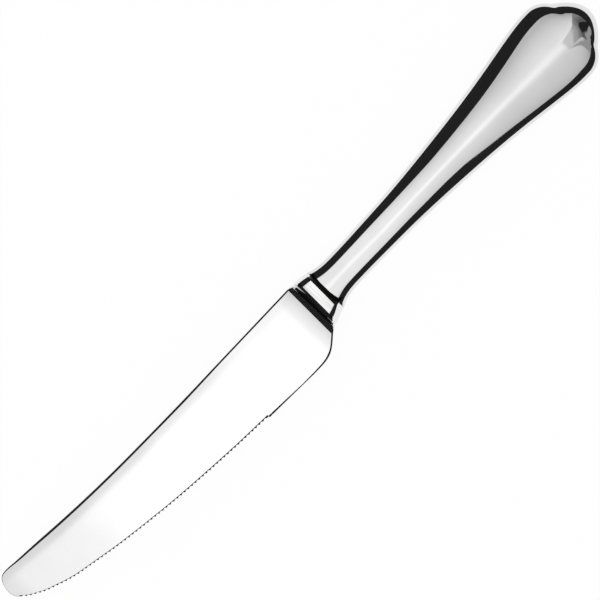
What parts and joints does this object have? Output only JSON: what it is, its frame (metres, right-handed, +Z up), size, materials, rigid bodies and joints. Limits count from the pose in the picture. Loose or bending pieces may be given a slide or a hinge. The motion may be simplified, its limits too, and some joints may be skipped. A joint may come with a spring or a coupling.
{
  "type": "table knife",
  "caption": "Table knife with a broad, finely serrated blade that curves up to a rounded tip, a faceted ferrule and a hollow handle that swells to a shouldered, domed butt.",
  "frame": {"origin": "centre of the knife's bounding box in plan, at the height of the surface that it lies on", "axes": "+X along the knife from the blade's tip to the butt of the handle, +Y from the cutting edge towards the spine, +Z up, square to the broad side that the knife lies on"},
  "size_m": [0.24, 0.028, 0.0104],
  "materials": {
    "blade_steel": "mirror-polished hardened stainless steel, faint lengthwise polishing marks",
    "ferrule_steel": "mirror-polished stainless steel",
    "handle_steel": "mirror-polished pressed stainless steel sheet",
    "braze": "pale silver braze, polished flush with the steel",
    "cement": "matt cast cement"
  },
  "bodies": {
    "root": {"blade": "blade_steel", "ferrule": "ferrule_steel", "upper_handle_shell": "handle_steel", "lower_handle_shell": "handle_steel", "seam_braze": "braze", "bolster_braze": "braze", "mouth_braze": "braze", "tang_cement": "cement"}
  },
  "joints": []
}
